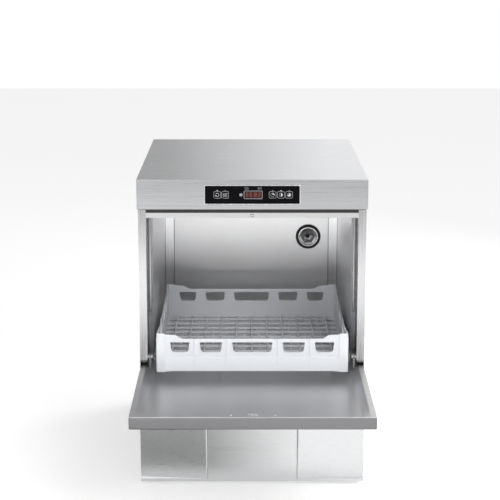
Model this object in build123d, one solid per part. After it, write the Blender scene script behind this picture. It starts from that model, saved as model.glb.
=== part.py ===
from build123d import *
import math
import os

os.makedirs("parts", exist_ok=True)

# A front-loading undercounter dishwasher for 500 mm racks, shown with its door open and the rack drawn
# forward.  Millimetres.  X is the width, -Y the front and +Z up.  The model is laid out with y = 0 at the
# cabinet's front face, and write() moves it so that y = 0 is the middle of the whole length.

# ---- Driving dimensions ----
WIDTH = 600.0
DEPTH = 680.0
HEIGHT = 840.0
FOOT_GAP = 12.0
SHEET = 1.2
FASCIA_HEIGHT = 78.0
DOOR_THICK = 31.0
DOOR_WIDTH = 596.0
DOOR_TOP = 758.0
RIM_Z = 328.0
PIVOT_SETBACK = 20.0
DOOR_ROOT = 48.0
LINER_DEPTH = 13.0
REAR_FITTING = 18.0
MOUTH_HALF = 279.0
CHAMBER_HALF = 267.0
CHAMBER_BACK = 632.0
CHAMBER_FRONT = 104.0
CHAMBER_TOP = 745.0
TANK_FLOOR = 150.0
RACK_SIZE = 500.0
RACK_RIM = 90.0
RACK_CORNER = 104.0
RACK_BASE_Z = 341.0
RACK_OUT = 60.0
RACK_HOME = 128.0
RUNNING_GAP = 0.05

# ---- Places worked out from them ----
HALF = WIDTH / 2
TOP_UNDER = HEIGHT - SHEET
FASCIA_BOTTOM = HEIGHT - FASCIA_HEIGHT
POST_FRONT = DOOR_THICK + 2
PIVOT_Y = DOOR_THICK + PIVOT_SETBACK
PIVOT_Z = RIM_Z + PIVOT_SETBACK
DOOR_TIP_Y = PIVOT_Y - (DOOR_TOP - PIVOT_Z)
DOOR_ROOT_Y = PIVOT_Y + DOOR_ROOT
DOOR_UNDER = RIM_Z - DOOR_THICK
ARM_Y = RACK_HOME + RACK_SIZE / 2
Y_MIDDLE = (DOOR_TIP_Y + DEPTH + REAR_FITTING) / 2
PANEL_TOP = 293.5
TRAY_TOP = 52.0


def group(pieces):
    """Several separate solids kept together as one node."""
    return Compound([solid for piece in pieces for solid in piece.solids()])


def write(node, shape):
    """Move a piece from the cabinet's frame to the part's frame and save it."""
    solids = [Pos(0, -Y_MIDDLE, 0) * solid for solid in shape.solids()]
    export_step(solids[0] if len(solids) == 1 else Compound(solids), f"parts/{node}.step")


def both_sides(shape):
    """A right-hand piece together with its mirror image."""
    return group([shape, mirror(shape, about=Plane.YZ)])


def write_pair(left, right, shape):
    """Save a right-hand piece and its mirror image."""
    write(right, shape)
    write(left, mirror(shape, about=Plane.YZ))


def block(x0, x1, y0, y1, z0, z1):
    """A box between two corners."""
    middle = Pos((x0 + x1) / 2, (y0 + y1) / 2, (z0 + z1) / 2)
    return middle * Box(x1 - x0, y1 - y0, z1 - z0)


def wide(half, y0, y1, z0, z1):
    """A box centred on the machine's middle plane."""
    return block(-half, half, y0, y1, z0, z1)


def rod(x, y, z, radius, length, along="z"):
    """A cylinder that starts at a point and runs along one axis."""
    turns = {"x": (0, 90, 0), "y": (-90, 0, 0), "z": (0, 0, 0)}
    solid = Cylinder(radius, length, align=(Align.CENTER, Align.CENTER, Align.MIN))
    return Pos(x, y, z) * Rot(*turns[along]) * solid


def tube(x, y, z, outer, inner, length, along="z"):
    """A rod with a bore right through it."""
    return rod(x, y, z, outer, length, along) - rod(x, y, z, inner, length, along)


def yz_prism(points, x0, x1):
    """A closed outline of (y, z) points, extruded along X."""
    outline = Polyline(*[(x0, y, z) for y, z in points], close=True)
    return extrude(make_face(outline), amount=x1 - x0, dir=(1, 0, 0))


def xz_prism(points, y0, y1):
    """A closed outline of (x, z) points, extruded along Y."""
    outline = Polyline(*[(x, y0, z) for x, z in points], close=True)
    return extrude(make_face(outline), amount=y1 - y0, dir=(0, 1, 0))


def xy_prism(points, z0, z1):
    """A closed outline of (x, y) points, extruded along Z."""
    outline = Polyline(*[(x, y, z0) for x, y in points], close=True)
    return extrude(make_face(outline), amount=z1 - z0, dir=(0, 0, 1))


def pipe(points, bend, radius, bore):
    """A pipe along straight runs joined by bends of one radius, with a bore where one is wanted."""
    path = FilletPolyline(*points, radius=bend)
    start = Plane(origin=path @ 0, z_dir=path % 0)
    solid = sweep(start * Circle(radius), path=path)
    if bore > 0:
        solid = solid - sweep(start * Circle(bore), path=path)
    return solid


def rounded_tile(x, z, width, height, corner, y0, y1):
    """A rounded rectangle facing the front, between two depths."""
    face = Plane.XZ * RectangleRounded(width, height, corner)
    return Pos(x, y1, z) * extrude(face, amount=y1 - y0)


# ---- Cabinet ----
FOOT_X = 258.0
FOOT_YS = (60.0, 630.0)
STUD_RADIUS = 5.0
LEVER_X = 285.0
LEVER_THICK = 6.0
LEVER_LENGTH = 62.0
SPRING_RADIUS = 7.0
SPRING_LOW = 90.0


def base_frame():
    """A folded tray for the pumps, the boiler and the feet, with an anchor post for each door spring."""
    shell = wide(HALF - 2, 2 + DOOR_THICK, DEPTH - 2, FOOT_GAP, TRAY_TOP)
    hollow = wide(HALF - 4, 4 + DOOR_THICK, DEPTH - 4, FOOT_GAP + 1.5, TRAY_TOP)
    tray = shell - hollow
    for x in (-FOOT_X, FOOT_X):
        for y in FOOT_YS:
            tray -= rod(x, y, FOOT_GAP - 1, STUD_RADIUS + 0.3, 4)
    anchor_x = LEVER_X + LEVER_THICK / 2
    anchor_y = PIVOT_Y + LEVER_LENGTH
    for x in (-anchor_x, anchor_x):
        tray += block(x - 5, x + 5, anchor_y - 5, anchor_y + 5, FOOT_GAP, SPRING_LOW)
    return tray


def levelling_feet():
    """Four screw feet, each with a pad on the floor and a stud through the tray."""
    feet = []
    for x in (-FOOT_X, FOOT_X):
        for y in FOOT_YS:
            pad = rod(x, y, 0, 19, FOOT_GAP - 3)
            nut = rod(x, y, FOOT_GAP - 3, 9, 3)
            stud = rod(x, y, FOOT_GAP, STUD_RADIUS, 22)
            feet.append(pad + nut + stud)
    return group(feet)


def side_panel():
    """One folded side skin, with a return at the back that the rear panel screws to."""
    skin = block(HALF - SHEET, HALF, POST_FRONT + 0.2, DEPTH, FOOT_GAP + 0.5, TOP_UNDER)
    back_return = block(HALF - 14, HALF - SHEET, DEPTH - 2 * SHEET, DEPTH - SHEET, TRAY_TOP, TOP_UNDER)
    return skin + back_return


def top_panel():
    """The worktop sheet, with a rounded front fold."""
    sheet = wide(HALF, 0, DEPTH, TOP_UNDER, HEIGHT)
    front_edge = sheet.edges().filter_by(Axis.X).group_by(Axis.Z)[-1].sort_by(Axis.Y)[0]
    return fillet(front_edge, 1.0)


VENT_Z = 640.0
PORT_X = 175.0
PORT_Z = 545.0
PORT_SEAL = 38.0
INLET_X = -180.0
DRAIN_X = 15.0
CABLE_X = 200.0
FITTING_Z = 90.0
INLET_RADIUS = 13.2
DRAIN_RADIUS = 14.0
GLAND_RADIUS = 10.0
GLAND_BORE = 5.5
FITTING_NUT = 19.0
FITTING_COLLAR = 2.5
FITTING_LENGTH = 13.0


def back_panel():
    """The rear cover, with cooling louvres and holes for the three connections."""
    sheet = wide(HALF - SHEET, DEPTH - SHEET, DEPTH, TRAY_TOP, TOP_UNDER)
    for x in (-150.0, 150.0):
        for row in range(8):
            z = VENT_Z + 14 * row
            sheet -= block(x - 45, x + 45, DEPTH - 2, DEPTH + 1, z, z + 4)
    for x, radius in ((INLET_X, INLET_RADIUS), (DRAIN_X, DRAIN_RADIUS), (CABLE_X, GLAND_RADIUS)):
        sheet -= rod(x, DEPTH - 2, FITTING_Z, radius, 3, "y")
    return sheet


def back_panel_screws():
    """Eight pan-head screws round the rear cover."""
    screws = []
    for x in (-HALF + 8, HALF - 8):
        for step in range(4):
            z = 90 + 230 * step
            screws.append(rod(x, DEPTH, z, 4, 2.2, "y"))
    return group(screws)


# ---- Control fascia ----
WINDOW_WIDTH = 245.0
WINDOW_HEIGHT = 47.0
WINDOW_Z = 800.4
WINDOW_CORNER = 1.5
FIT = 0.3
KEY_SIZE = 18.4
KEY_XS = (-90.6, -70.4, 52.6, 74.2, 95.2)
KEY_NAMES = ("key_start", "key_drain", "key_short_cycle", "key_medium_cycle", "key_long_cycle")
DISPLAY_X = 2.2
DISPLAY_WIDTH = 47.0
DISPLAY_HEIGHT = 21.0


def control_fascia():
    """The brushed front strip: a folded channel with returns, cut out for the control window."""
    shell = wide(HALF, 0, POST_FRONT, FASCIA_BOTTOM, TOP_UNDER)
    hollow = wide(HALF - SHEET, SHEET, POST_FRONT + 1, FASCIA_BOTTOM + SHEET, TOP_UNDER - SHEET)
    channel = shell - hollow
    opening = rounded_tile(0, WINDOW_Z, WINDOW_WIDTH, WINDOW_HEIGHT, WINDOW_CORNER, -1, SHEET + 1)
    return channel - opening


def control_window():
    """The black front plate, with openings for the display and the keys."""
    width = WINDOW_WIDTH - 2 * FIT
    height = WINDOW_HEIGHT - 2 * FIT
    plate = rounded_tile(0, WINDOW_Z, width, height, WINDOW_CORNER, 0.4, 3.4)
    plate -= rounded_tile(DISPLAY_X, WINDOW_Z, DISPLAY_WIDTH, DISPLAY_HEIGHT, 2, 0, 4)
    for x in KEY_XS:
        plate -= rounded_tile(x, WINDOW_Z, KEY_SIZE + 0.8, KEY_SIZE + 0.8, 3.4, 0, 4)
    return plate


def display_lens():
    """The dark red lens of the display, set in the window."""
    return rounded_tile(DISPLAY_X, WINDOW_Z, DISPLAY_WIDTH, DISPLAY_HEIGHT, 2, 0.7, 3.4)


def key_cap(x):
    """One soft key: a cap nearly flush with the window and a stem towards its switch."""
    cap = rounded_tile(x, WINDOW_Z, KEY_SIZE, KEY_SIZE, 3, 0.2, 4.6)
    stem = rod(x, 4.6, WINDOW_Z, 3, 3.8, "y")
    return cap + stem


def control_board():
    """The circuit board behind the window, with five switches and the display block."""
    board = block(-118, 118, 13, 14.6, WINDOW_Z - 21, WINDOW_Z + 21)
    blocks = [board]
    for x in KEY_XS:
        blocks.append(block(x - 6, x + 6, 9.7, 13, WINDOW_Z - 6, WINDOW_Z + 6))
    blocks.append(block(DISPLAY_X - 22, DISPLAY_X + 22, 4, 13, WINDOW_Z - 9, WINDOW_Z + 9))
    blocks.append(block(-20, 60, 14.6, 24, WINDOW_Z - 15, WINDOW_Z + 12))
    return group(blocks)


# ---- Mouth of the chamber ----
POST_TOP = 754.0
POST_BOSS = 18.5
FOOT_START = 4.2
FOOT_BACK = 44.5
BUSH_RADIUS = 8.0
PIN_RADIUS = 5.0


def front_post():
    """A folded post beside the mouth, rounded at its foot; the inner flange carries the door's pivot."""
    x0 = MOUTH_HALF
    x1 = HALF - SHEET
    front = block(x0, x1, POST_FRONT, POST_FRONT + SHEET, PIVOT_Z - FOOT_START, POST_TOP)
    foot = tube(x0, PIVOT_Y, PIVOT_Z, POST_BOSS, POST_BOSS - SHEET, x1 - x0, "x")
    foot &= block(x0, x1, POST_FRONT, FOOT_BACK, PIVOT_Z - POST_BOSS, PIVOT_Z - FOOT_START)
    inner = block(x0, x0 + 1.5, POST_FRONT, CHAMBER_FRONT, PIVOT_Z, POST_TOP)
    heel = block(x0, x0 + 1.5, PIVOT_Y, CHAMBER_FRONT, PIVOT_Z - POST_BOSS, PIVOT_Z)
    boss = rod(x0, PIVOT_Y, PIVOT_Z, POST_BOSS, 1.5, "x")
    hole = rod(x0 - 1, PIVOT_Y, PIVOT_Z, BUSH_RADIUS, 4, "x")
    return front + foot + inner + heel + boss - hole


def hinge_bush():
    """A flanged bronze bush in the post."""
    body = rod(MOUTH_HALF, PIVOT_Y, PIVOT_Z, BUSH_RADIUS, 4, "x")
    collar = rod(MOUTH_HALF + 1.5, PIVOT_Y, PIVOT_Z, 10, 2.5, "x")
    bore = rod(MOUTH_HALF - 1, PIVOT_Y, PIVOT_Z, PIN_RADIUS + RUNNING_GAP, 6, "x")
    return body + collar - bore


HEADER_BOTTOM = 732.6
HEADER_TOP = 745.8
CATCH_Z = 739.0
CATCH_BALL = 4.0
SEAL_DEPTH = 9.0
SEAL_BEAD = 1.6


def door_header():
    """The folded lip across the top of the mouth, with a hole for the catch."""
    y0 = POST_FRONT
    front = wide(MOUTH_HALF, y0, y0 + SHEET, HEADER_BOTTOM, HEADER_TOP)
    under = wide(MOUTH_HALF, y0, 62, HEADER_BOTTOM, HEADER_BOTTOM + SHEET)
    upper = wide(MOUTH_HALF, y0, 50, HEADER_TOP - SHEET, HEADER_TOP)
    return front + under + upper - rod(0, y0 - 1, CATCH_Z, CATCH_BALL + 0.3, 4, "y")


def catch_housing():
    """The barrel of the ball catch, behind the lip, with its guide bore."""
    barrel = rod(0, POST_FRONT + SHEET, CATCH_Z, 5.2, 16, "y")
    bore = rod(0, POST_FRONT, CATCH_Z, CATCH_BALL + RUNNING_GAP, 13, "y")
    collar = tube(0, POST_FRONT - 0.6, CATCH_Z, 5.8, CATCH_BALL + 0.3, 0.6, "y")
    return group([barrel - bore, collar])


def catch_ball():
    """The sprung ball and its guide, standing a little proud of the lip."""
    centre_y = POST_FRONT + 1.2
    ball = Pos(0, centre_y, CATCH_Z) * Sphere(CATCH_BALL)
    guide = rod(0, centre_y, CATCH_Z, CATCH_BALL, 7.5, "y")
    return ball + guide


def top_seal():
    """A dark rubber strip between the lip and the fascia."""
    half = HALF - 3
    upper = wide(half, POST_FRONT, POST_FRONT + SEAL_DEPTH, POST_TOP + 0.3, FASCIA_BOTTOM - 0.3)
    lower = wide(MOUTH_HALF - 0.3, POST_FRONT, POST_FRONT + SEAL_DEPTH, HEADER_TOP + 0.3, POST_TOP + 0.3)
    bead = rod(-half, POST_FRONT, (POST_TOP + FASCIA_BOTTOM) / 2, SEAL_BEAD, 2 * half, "x")
    return upper + lower + bead


# ---- Wash chamber ----
FLANGE = 29.5
CREASE = 13.0


def chamber_side():
    """One side wall: stepped in behind the post, with a flange folded on to the back wall."""
    x = CHAMBER_HALF
    out = MOUTH_HALF
    y1 = CHAMBER_FRONT
    wall = block(x, x + SHEET, y1 + 1.4, CHAMBER_BACK, TANK_FLOOR - SHEET, CHAMBER_TOP)
    inside = [(out + 0.1, y1 + 0.2), (x, y1 + CREASE), (x + SHEET, y1 + CREASE + 0.3), (out + 1.5, y1 + 0.2)]
    step = xy_prism(inside, PIVOT_Z - POST_BOSS, CHAMBER_TOP)
    ahead = block(x - 1, x + SHEET + 1, y1, y1 + CREASE, PIVOT_Z - POST_BOSS, CHAMBER_TOP + 1)
    flange = block(x - FLANGE, x, CHAMBER_BACK - SHEET, CHAMBER_BACK, TANK_FLOOR, CHAMBER_TOP)
    return wall - ahead + step + flange


def chamber_back():
    """The back wall, with the port's hole."""
    wall = wide(CHAMBER_HALF, CHAMBER_BACK, CHAMBER_BACK + SHEET, TANK_FLOOR, CHAMBER_TOP)
    return wall - rod(PORT_X, CHAMBER_BACK - 1, PORT_Z, 31, 4, "y")


def chamber_ceiling():
    """The roof sheet of the chamber, with the upper arms' hole."""
    roof = wide(CHAMBER_HALF + SHEET, 62, CHAMBER_BACK, CHAMBER_TOP, CHAMBER_TOP + SHEET)
    roof += wide(MOUTH_HALF, 62, 62 + SHEET, HEADER_BOTTOM, CHAMBER_TOP + SHEET)
    return roof - rod(0, ARM_Y, CHAMBER_TOP - 1, 14, 4)


SUMP_HALF = 80.0
SUMP_BOTTOM = 96.0


def tank_floor():
    """The tank's bottom, pressed down into a square sump."""
    plate = wide(CHAMBER_HALF, CHAMBER_FRONT + 1.4, CHAMBER_BACK, TANK_FLOOR - SHEET, TANK_FLOOR)
    outer = wide(SUMP_HALF, ARM_Y - SUMP_HALF, ARM_Y + SUMP_HALF, SUMP_BOTTOM, TANK_FLOOR)
    inner_half = SUMP_HALF - SHEET
    inner = wide(inner_half, ARM_Y - inner_half, ARM_Y + inner_half, SUMP_BOTTOM + SHEET, TANK_FLOOR + 1)
    floor = plate + outer - inner
    floor -= rod(55, ARM_Y, SUMP_BOTTOM - 1, 16, 4)
    floor -= rod(-50, ARM_Y, SUMP_BOTTOM - 1, 10, 4)
    return floor


SILL_Z = 274.0
SILL_HALF = 278.0
SILL_FRONT = 9.6
SILL_TOP = 289.0


def door_sill():
    """The tank's front wall and the gutter under the door's swing, in one folded sheet."""
    t = SHEET
    front = SILL_FRONT
    top = SILL_TOP
    back = CHAMBER_FRONT + t
    points = [
        (front, top), (front, SILL_Z + 1), (CHAMBER_FRONT, SILL_Z - 4 - t), (CHAMBER_FRONT, TANK_FLOOR - t),
        (back, TANK_FLOOR - t), (back, SILL_Z - 4), (front + t, SILL_Z + 1 + t), (front + t, top),
    ]
    gutter = yz_prism(points, -SILL_HALF, SILL_HALF)
    behind = block(CHAMBER_HALF, SILL_HALF + 1, CHAMBER_FRONT - 0.1, 110, 100, SILL_Z - 6)
    return gutter - behind - mirror(behind, about=Plane.YZ)


def rack_rail():
    """An angle rail along the side wall, with a guide lip for the rack."""
    x = CHAMBER_HALF
    shelf = block(238, x, 92, CHAMBER_BACK - 2, RACK_BASE_Z - 1.8, RACK_BASE_Z - 0.3)
    web = block(x - 1.5, x, 114, CHAMBER_BACK - 2, RACK_BASE_Z - 22, RACK_BASE_Z - 1.8)
    guide = block(254, 255.5, 114, CHAMBER_BACK - 2, RACK_BASE_Z - 0.3, RACK_BASE_Z + 12)
    return shelf + web + guide


def port_seal():
    """The black ring round the back wall's port."""
    ring = tube(PORT_X, CHAMBER_BACK - 5, PORT_Z, PORT_SEAL, 30.5, 5, "y")
    return fillet(ring.edges().filter_by(GeomType.CIRCLE).group_by(Axis.Y)[0], 1.8)


def port_insert():
    """The bright ring in the port, with a six-sided cup inside it."""
    ring = tube(PORT_X, CHAMBER_BACK - 7, PORT_Z, 30.4, 26, 26, "y")
    base = tube(PORT_X, CHAMBER_BACK + 10, PORT_Z, 26, 11, 1.5, "y")
    cup = Pos(PORT_X, CHAMBER_BACK + 10, PORT_Z) * extrude(Plane.XZ * RegularPolygon(22, 6), amount=11)
    cup -= Pos(PORT_X, CHAMBER_BACK + 11, PORT_Z) * extrude(Plane.XZ * RegularPolygon(18.5, 6), amount=14)
    return ring + base + cup


# ---- Wash and rinse arms ----
LOWER_WASH_Z = 284.0
LOWER_RINSE_Z = 311.0
UPPER_WASH_Z = 723.0
UPPER_RINSE_Z = 707.0
WASH_REACH = 228.0
RINSE_REACH = 215.0
WASH_POST = 15.0
RINSE_POST = 8.0


def wash_arm(z, height, jets_up):
    """A flat hollow-looking arm on a hub, with raised jets on the face towards the rack."""
    blade = Pos(0, ARM_Y, z) * extrude(SlotOverall(2 * WASH_REACH, 34), amount=height)
    blade = fillet(blade.edges().group_by(Axis.Z)[0] + blade.edges().group_by(Axis.Z)[-1], height * 0.35)
    hub = rod(0, ARM_Y, z, 27, height)
    arm = blade + hub
    face = z + height - 0.5 if jets_up else z - 2.0
    for x in (60, 105, 150, 195):
        for side in (-1, 1):
            arm += rod(side * x, ARM_Y + 3 * side, face, 5, 2.5)
            arm -= block(side * x - 4, side * x + 4, ARM_Y + 3 * side - 1, ARM_Y + 3 * side + 1, face - 2, face + 5)
    return arm - rod(0, ARM_Y, z - 1, WASH_POST + RUNNING_GAP, height + 2)


def rinse_arm(z):
    """A thin round tube on a small hub."""
    bar = rod(-RINSE_REACH, ARM_Y, z + 6, 6, 2 * RINSE_REACH, "x")
    hub = rod(0, ARM_Y, z, 15, 12)
    arm = bar + hub
    for x in (50, 95, 140, 185):
        for side in (-1, 1):
            arm -= block(side * x - 2.5, side * x + 2.5, ARM_Y - 0.6, ARM_Y + 0.6, z + 9, z + 13)
    return arm - rod(0, ARM_Y, z - 1, RINSE_POST + RUNNING_GAP, 14)


def lower_arm_post():
    """The stepped post that feeds the lower arms, standing in the sump."""
    post = rod(0, ARM_Y, SUMP_BOTTOM + SHEET, WASH_POST, LOWER_RINSE_Z - 1 - SUMP_BOTTOM - SHEET)
    collar = rod(0, ARM_Y, LOWER_WASH_Z - 5, 22, 4.6)
    tip = rod(0, ARM_Y, LOWER_RINSE_Z - 1, RINSE_POST, 14)
    cap = rod(0, ARM_Y, LOWER_RINSE_Z + 12.6, 13, 6)
    return post + collar + tip + cap


def upper_arm_post():
    """The same, hanging from the ceiling."""
    post = rod(0, ARM_Y, UPPER_WASH_Z - 3, WASH_POST, CHAMBER_TOP - UPPER_WASH_Z + 3)
    collar = rod(0, ARM_Y, UPPER_WASH_Z + 14.4, 22, CHAMBER_TOP - UPPER_WASH_Z - 14.4)
    tip = rod(0, ARM_Y, UPPER_RINSE_Z - 1, RINSE_POST, UPPER_WASH_Z - UPPER_RINSE_Z)
    cap = rod(0, ARM_Y, UPPER_RINSE_Z - 6.6, 13, 6)
    keeper = rod(0, ARM_Y, UPPER_WASH_Z - 3.6, 20, 3.2)
    stub = rod(0, ARM_Y, CHAMBER_TOP, 14, 22)
    return post + collar + tip + cap + keeper + stub


# ---- Tank fittings and machinery ----
SCREEN_Z = 240.0
WELL_RADIUS = 40.0


def filter_screens():
    """Two slotted plates over the tank, meeting round the filter cartridge."""
    half = block(1, CHAMBER_HALF - 1, CHAMBER_FRONT + 3, CHAMBER_BACK - 3, SCREEN_Z, SCREEN_Z + 1.5)
    half -= rod(0, ARM_Y, SCREEN_Z - 1, WELL_RADIUS, 4)
    slots = []
    for column in range(5):
        for row in range(20):
            x = 52 + 44 * column
            y = CHAMBER_FRONT + 30 + 24.6 * row
            slots.append(block(x - 16, x + 16, y - 2.5, y + 2.5, SCREEN_Z - 1, SCREEN_Z + 3))
    half -= group(slots)
    return both_sides(half)


def filter_cartridge():
    """The round basket in the sump, with a collar that rests on the screens."""
    outer = WELL_RADIUS - 0.5
    shell = tube(0, ARM_Y, 120, outer, outer - 2, 130)
    floor = tube(0, ARM_Y, 120, outer - 1, WASH_POST + 1, 2)
    collar = tube(0, ARM_Y, SCREEN_Z + 1.6, outer + 6, outer - 2, 3)
    cut = []
    for step in range(12):
        turn = Rot(0, 0, 30 * step)
        cut.append(Pos(0, ARM_Y, 0) * turn * block(outer - 6, outer + 3, -4, 4, 140, 220))
    return shell + floor + collar - group(cut)


def tank_heater():
    """A hairpin heater low in the tank, with its flange on the sill's wall."""
    z = 176.0
    y0 = CHAMBER_FRONT + SHEET
    path = [(100, y0 + 6, z), (100, y0 + 440, z), (130, y0 + 440, z), (130, y0 + 6, z)]
    loop = pipe(path, 14.9, 4.2, 0)
    flange = block(88, 142, y0, y0 + 6, z - 16, z + 16)
    return loop + flange


def wash_pump_motor():
    """A ribbed motor lying along the width."""
    body = rod(92, 545, 82, 46, 130, "x")
    for step in range(9):
        body += rod(100 + 13 * step, 545, 82, 49, 4, "x")
    foot = block(105, 205, 515, 575, FOOT_GAP + 1.5, 45)
    return body + foot


def wash_pump_volute():
    """The pump's round housing with its inlet and outlet stubs."""
    case = rod(50, 545, 82, 54, 42, "x")
    inlet = rod(26, 545, 82, 17, 24, "x")
    outlet = rod(71, 545, 82, 14, 70, "y")
    return case + inlet + outlet


def drain_pump():
    """A small pump beside the sump."""
    head = rod(130, 300, 62, 30, 26, "x")
    motor = block(156, 206, 276, 324, 38, 86)
    foot = block(130, 200, 285, 315, FOOT_GAP + 1.5, 38)
    return head + motor + foot


def rinse_boiler():
    """The pressure boiler for the hot rinse, on two feet, with its screwed heater head."""
    shell = rod(-190, 150, 82, 54, 330, "y")
    ends = shell.edges().filter_by(GeomType.CIRCLE)
    shell = fillet(ends, 22)
    for y in (200, 430):
        shell += block(-222, -158, y - 12, y + 12, FOOT_GAP + 1.5, 50)
    head = rod(-190, 128, 82, 24, 22, "y")
    for x in (-202, -190, -178):
        head += rod(x, 116, 82, 3, 12, "y")
    return group([shell, head])


def inlet_valve():
    """The solenoid valve behind the water inlet."""
    body = rod(INLET_X, 622, FITTING_Z, 15, 40, "y")
    coil = block(INLET_X - 18, INLET_X + 18, 628, 656, FITTING_Z + 12, FITTING_Z + 52)
    return body + coil


def dosing_pumps():
    """Two small peristaltic pumps for detergent and rinse aid."""
    pumps = []
    for x in (60, 150):
        case = block(x - 30, x + 30, 60, 100, 30, 90)
        head = rod(x, 40, 60, 22, 20, "y")
        foot = block(x - 20, x + 20, 66, 94, FOOT_GAP + 1.5, 30)
        pumps.append(case + head + foot)
    return group(pumps)


def suction_hose():
    """From the sump's outlet to the wash pump."""
    path = [(55, ARM_Y, SUMP_BOTTOM), (55, ARM_Y, 58), (-15, ARM_Y + 70, 58), (-15, 545, 82), (26, 545, 82)]
    return pipe(path, 17, 15, 12)


def wash_pipe():
    """From the pump, up behind the back wall and over the ceiling to the upper arms."""
    y = 656
    path = [(71, 615, 82), (71, y, 82), (71, y, 795), (0, y, 795), (0, ARM_Y, 795), (0, ARM_Y, 767)]
    return pipe(path, 18, 12, 9)


def rinse_pipe():
    """From the boiler, up behind the back wall to the upper rinse arm's feed."""
    y = 652
    z = 757
    path = [(-150, 480, 82), (-150, y, 82), (-150, y, z), (-60, y, z), (-60, ARM_Y, z), (-14, ARM_Y, z)]
    return pipe(path, 20, 6, 4)


def rear_fitting(x, start, radius, bore, collar, inner_radius):
    """A stub through the rear cover: a plain body, an outside collar, a relief groove and the end that mates."""
    end = DEPTH + REAR_FITTING
    groove = radius - 1.2
    body = rod(x, start, FITTING_Z, inner_radius, DEPTH - start, "y")
    body += rod(x, DEPTH - SHEET - 5, FITTING_Z, FITTING_NUT, 5, "y")
    body += rod(x, DEPTH, FITTING_Z, collar, FITTING_COLLAR, "y")
    body += rod(x, DEPTH, FITTING_Z, groove, REAR_FITTING, "y")
    body += rod(x, end - FITTING_LENGTH, FITTING_Z, radius, FITTING_LENGTH, "y")
    return body - rod(x, start + 8, FITTING_Z, bore, end, "y")


def water_inlet():
    """The threaded inlet stub on the rear panel."""
    return rear_fitting(INLET_X, 662, INLET_RADIUS, 9, 18, INLET_RADIUS - 0.3)


def drain_outlet():
    """The drain's spigot on the rear panel."""
    stub = rear_fitting(DRAIN_X, 640, DRAIN_RADIUS, 11, 18, DRAIN_RADIUS - 0.3)
    return stub - rod(DRAIN_X, 630, FITTING_Z, 11, 80, "y")


def cable_gland():
    """The cable's clamp in the rear panel."""
    body = rod(CABLE_X, 668, FITTING_Z, GLAND_RADIUS, DEPTH + 12 - 668, "y")
    body += rod(CABLE_X, DEPTH, FITTING_Z, 13, 7, "y")
    return body - rod(CABLE_X, 660, FITTING_Z, GLAND_BORE, 60, "y")


# ---- Lower front panel ----
CREASE_X = 121.0
CREASE_HALF = 3.0
CREASE_DEPTH = 2.4
FACET_START = 0.7
FACET_DROP = 8.0
LIP_HEIGHT = 8.0


def panel_line(half, setback):
    """The panel's plan line, left to right: it falls back from two grooves towards both edges."""
    right = [
        (CREASE_X - CREASE_HALF, setback), (CREASE_X, CREASE_DEPTH + setback),
        (CREASE_X + CREASE_HALF, FACET_START + setback), (half, FACET_DROP + setback),
    ]
    left = [(-x, y) for x, y in reversed(right)]
    return left + right


def lower_front_panel():
    """Three shallow facets between two pressed grooves, over a plain bottom lip."""
    inside = HALF - SHEET
    outline = panel_line(HALF, 0) + [(HALF, POST_FRONT), (-HALF, POST_FRONT)]
    inner = panel_line(inside, SHEET) + [(inside, POST_FRONT + 1), (-inside, POST_FRONT + 1)]
    bottom = FOOT_GAP + 0.5
    body = xy_prism(outline, bottom, PANEL_TOP) - xy_prism(inner, bottom + SHEET, PANEL_TOP + 1)
    return body + wide(HALF, 0, FACET_DROP + SHEET, bottom, bottom + LIP_HEIGHT)


# ---- Door, drawn open ----
PULL_HALF = 150.0


def pocket_shape():
    """The space inside the liner: shallow at the free end, deeper towards the cabinet."""
    tip_y = DOOR_TIP_Y + 2
    level_y = PIVOT_Y - 40

    def section(y, depth):
        floor = RIM_Z - depth
        points = [(-284, y, RIM_Z + 0.01), (-262, y, floor), (262, y, floor), (284, y, RIM_Z + 0.01)]
        return make_face(Polyline(*points, close=True))

    shallow = section(tip_y, 1.0)
    deep = section(level_y, LINER_DEPTH)
    slope = loft([shallow, deep], ruled=True)
    level = extrude(deep, amount=DOOR_ROOT_Y + 1 - level_y, dir=(0, 1, 0))
    return slope + level


def door_outer_panel():
    """The outer skin: a shallow pan with a pressed finger pull near its free end."""
    half = DOOR_WIDTH / 2
    y0 = DOOR_TIP_Y
    y1 = DOOR_ROOT_Y
    z0 = DOOR_UNDER
    outer = wide(half, y0, y1, z0, RIM_Z - SHEET)
    corners = outer.edges().filter_by(Axis.Z) + outer.edges().group_by(Axis.Z)[0]
    outer = fillet(corners, 2.5)
    pan = outer - wide(half - SHEET, y0 + SHEET, y1 - SHEET, z0 + SHEET, RIM_Z)
    root_gap = wide(262 + 22, y1 - SHEET - 1, y1 + 1, RIM_Z - LINER_DEPTH - SHEET, RIM_Z)
    pan -= root_gap
    pull_y = y0 + 12
    pan += wide(PULL_HALF + SHEET, pull_y - SHEET, pull_y + 22 + SHEET, z0 + 0.6, z0 + 13 + SHEET)
    pull = wide(PULL_HALF, pull_y, pull_y + 22, z0 - 1, z0 + 13)
    return pan - pull


def door_liner(pocket):
    """The inner skin: flat floor between raised side rims, open at the root so that it drains."""
    half = DOOR_WIDTH / 2 - SHEET / 2
    z0 = RIM_Z - LINER_DEPTH - SHEET
    slab = wide(half, DOOR_TIP_Y + SHEET / 2, DOOR_ROOT_Y, z0, RIM_Z)
    under = Pos(0, 0, -SHEET) * pocket
    rims = wide(half, DOOR_TIP_Y + SHEET / 2, DOOR_ROOT_Y, RIM_Z - SHEET, RIM_Z)
    sheet = rims + (under & slab) - pocket
    return sheet


STRIKE_Y = DOOR_TIP_Y + (DOOR_TOP - CATCH_Z)
STRIKE_SINK = 1.35


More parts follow.
